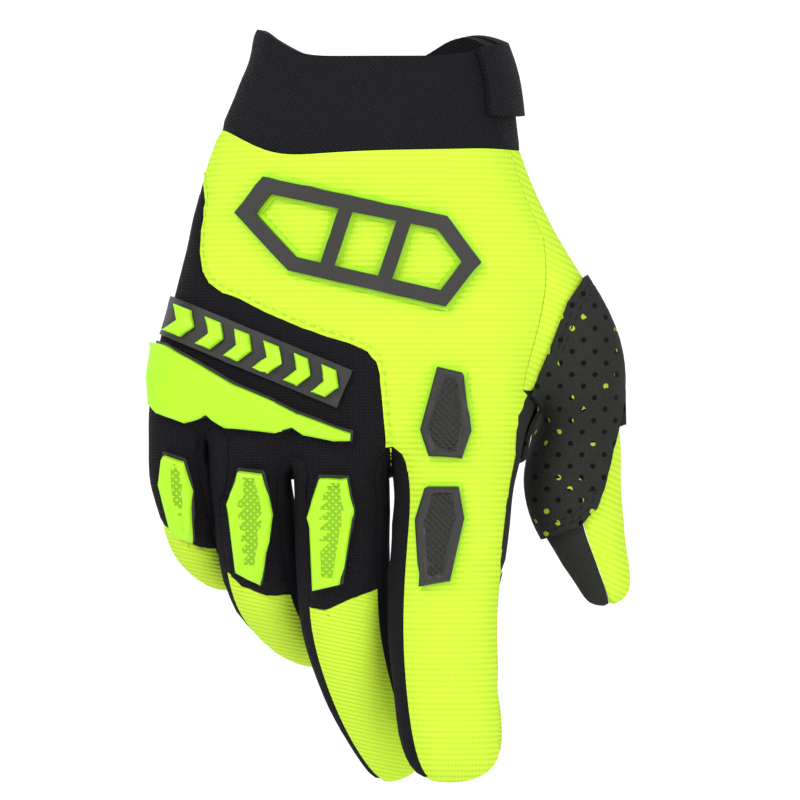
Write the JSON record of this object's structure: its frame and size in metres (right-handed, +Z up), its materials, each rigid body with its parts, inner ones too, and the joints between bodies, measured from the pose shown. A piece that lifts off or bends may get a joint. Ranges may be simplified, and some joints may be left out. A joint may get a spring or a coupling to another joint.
{
  "type": "motocross glove",
  "caption": "Right-hand full-finger off-road riding glove with ribbed knit back, moulded knuckle and finger guards, suede palm and wrist cuff, held open as worn.",
  "frame": {"origin": "centre of the wrist opening", "axes": "+Z up out of the wrist opening, away from the fingertips; -Y out of the back of the hand; +X towards the thumb"},
  "size_m": [0.1268, 0.0856, 0.1991],
  "materials": {
    "neoprene": "matt knit",
    "rib_knit": "matt rib knit",
    "stretch_mesh": "matt stretch cloth",
    "terry": "looped cloth",
    "suede": "synthetic suede",
    "green_rubber": "satin moulded",
    "black_rubber": "satin moulded"
  },
  "bodies": {
    "root": {"back_panel": "rib_knit", "block_1": "green_rubber", "block_2": "green_rubber", "block_3": "green_rubber", "block_4": "green_rubber", "block_5": "green_rubber", "block_6": "green_rubber", "block_base": "black_rubber", "closure_strap": "neoprene", "cuff": "neoprene", "emblem": "black_rubber", "emblem_base": "green_rubber", "fourchette_middle_index": "terry", "fourchette_pinky_ring": "terry", "fourchette_ring_middle": "terry", "index_grip": "rib_knit", "index_guard_lower": "black_rubber", "index_guard_lower_base": "green_rubber", "index_guard_upper": "black_rubber", "index_guard_upper_base": "green_rubber", "knuckle_guard": "green_rubber", "knuckle_guard_base": "black_rubber", "knuckle_panel": "stretch_mesh", "middle_guard": "green_rubber", "middle_guard_base": "black_rubber", "middle_tip": "rib_knit", "palm": "suede", "pinky_guard": "green_rubber", "pinky_guard_base": "black_rubber", "pinky_tip": "rib_knit", "ring_guard": "green_rubber", "ring_guard_base": "black_rubber", "ring_tip": "rib_knit", "thumb_back": "rib_knit", "thumb_palm": "suede", "thumb_patch": "suede"}
  },
  "joints": []
}
